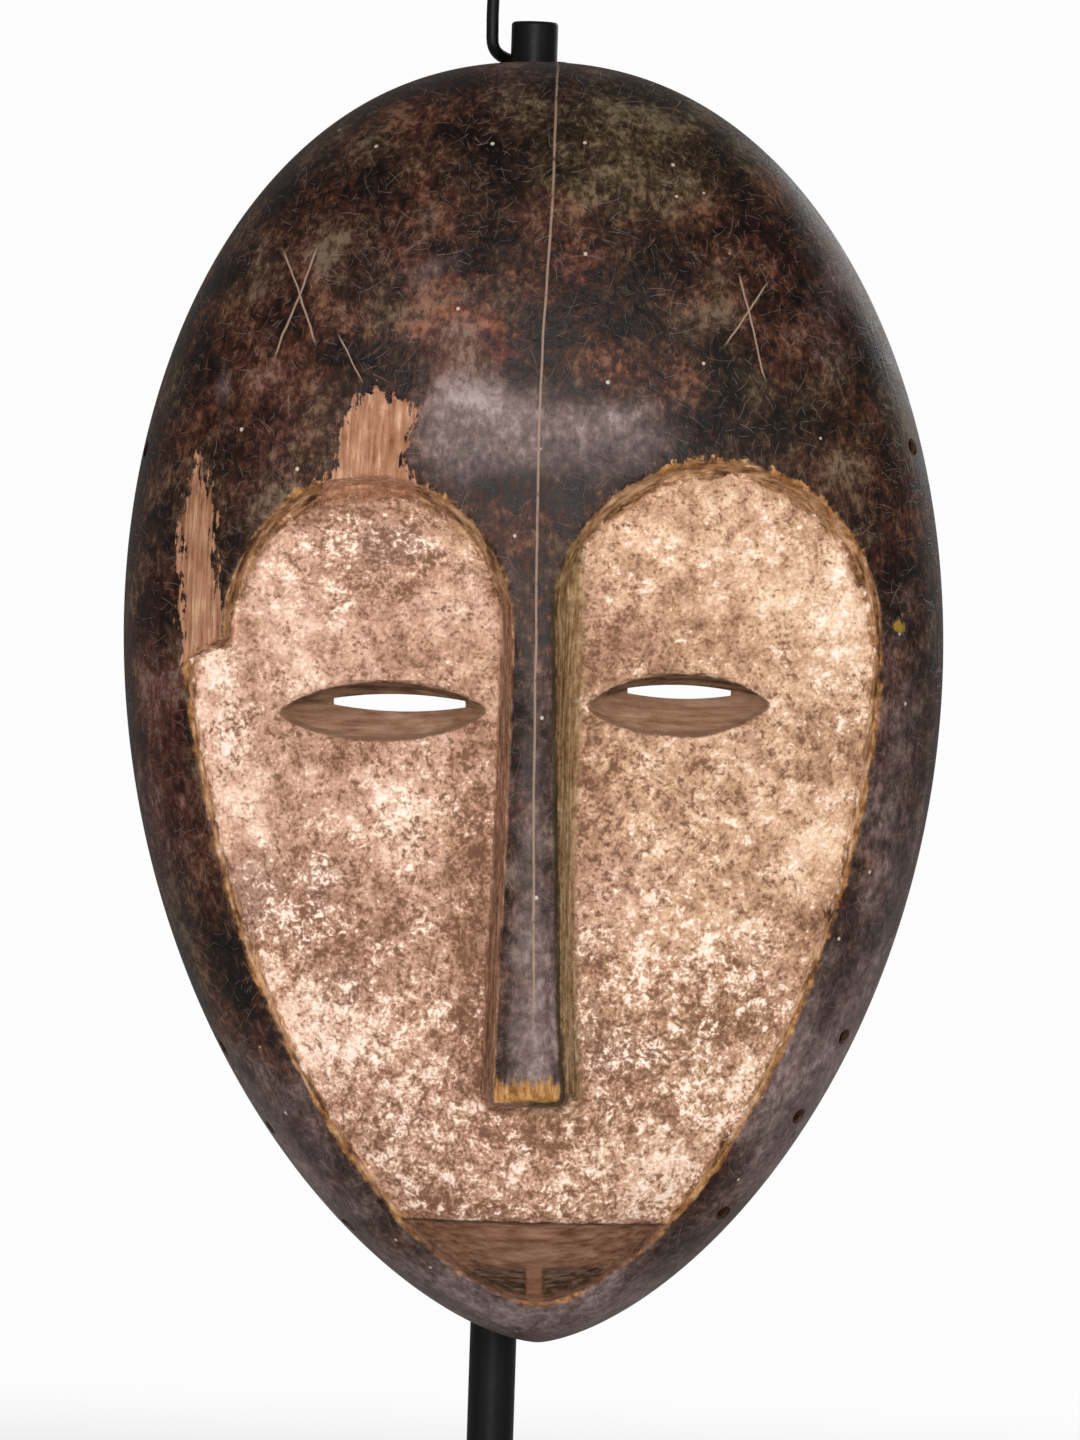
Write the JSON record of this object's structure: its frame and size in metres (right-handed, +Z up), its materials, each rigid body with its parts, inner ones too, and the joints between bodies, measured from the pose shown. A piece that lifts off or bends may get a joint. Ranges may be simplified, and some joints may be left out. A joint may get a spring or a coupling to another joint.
{
  "type": "carved wooden mask on a display stand",
  "caption": "Long oval carved wooden face mask with slit eyes and a straight nose, hung by its wire from a hook on a black steel post with a flat base.",
  "frame": {"origin": "middle of the underside of the felt under the base plate, where the stand rests on a table", "axes": "+Z up along the post, -Y the way the mask faces, +X to the right of a person who looks at the face"},
  "size_m": [0.1919, 0.13, 0.4235],
  "materials": {
    "carved_wood": "dark rubbed patina with a flaking pale clay face",
    "black_steel": "satin black",
    "iron_wire": "annealed, dark",
    "zinc_steel": "zinc plated",
    "black_rubber": "matt",
    "felt": "pressed felt"
  },
  "bodies": {
    "stand": {"base_plate": "black_steel", "base_felt": "felt", "base_screw": "zinc_steel", "base_washer": "zinc_steel", "post": "black_steel", "bumper_sleeve": "black_rubber"},
    "hook": {"hook_wire": "black_steel"},
    "wire": {"hanging_wire": "iron_wire"},
    "mask": {"mask_body": "carved_wood", "screw_eye_left": "zinc_steel", "screw_eye_right": "zinc_steel"}
  },
  "joints": [
    {"name": "hook_turn", "type": "hinge", "parent": "stand", "child": "hook", "pos_m": [0, 0.03, 0.378], "axis": [0, 0, 1], "range_deg": [-60, 60]},
    {"name": "mask_lift", "type": "slide", "parent": "hook", "child": "wire", "axis": [0, -0.5, 0.866], "range_m": [0, 0.15]},
    {"name": "mask_tilt", "type": "hinge", "parent": "wire", "child": "mask", "pos_m": [0.00073, 0.007, 0.33681], "axis": [-0.9993, 0, -0.0384], "range_deg": [0, 6]}
  ]
}
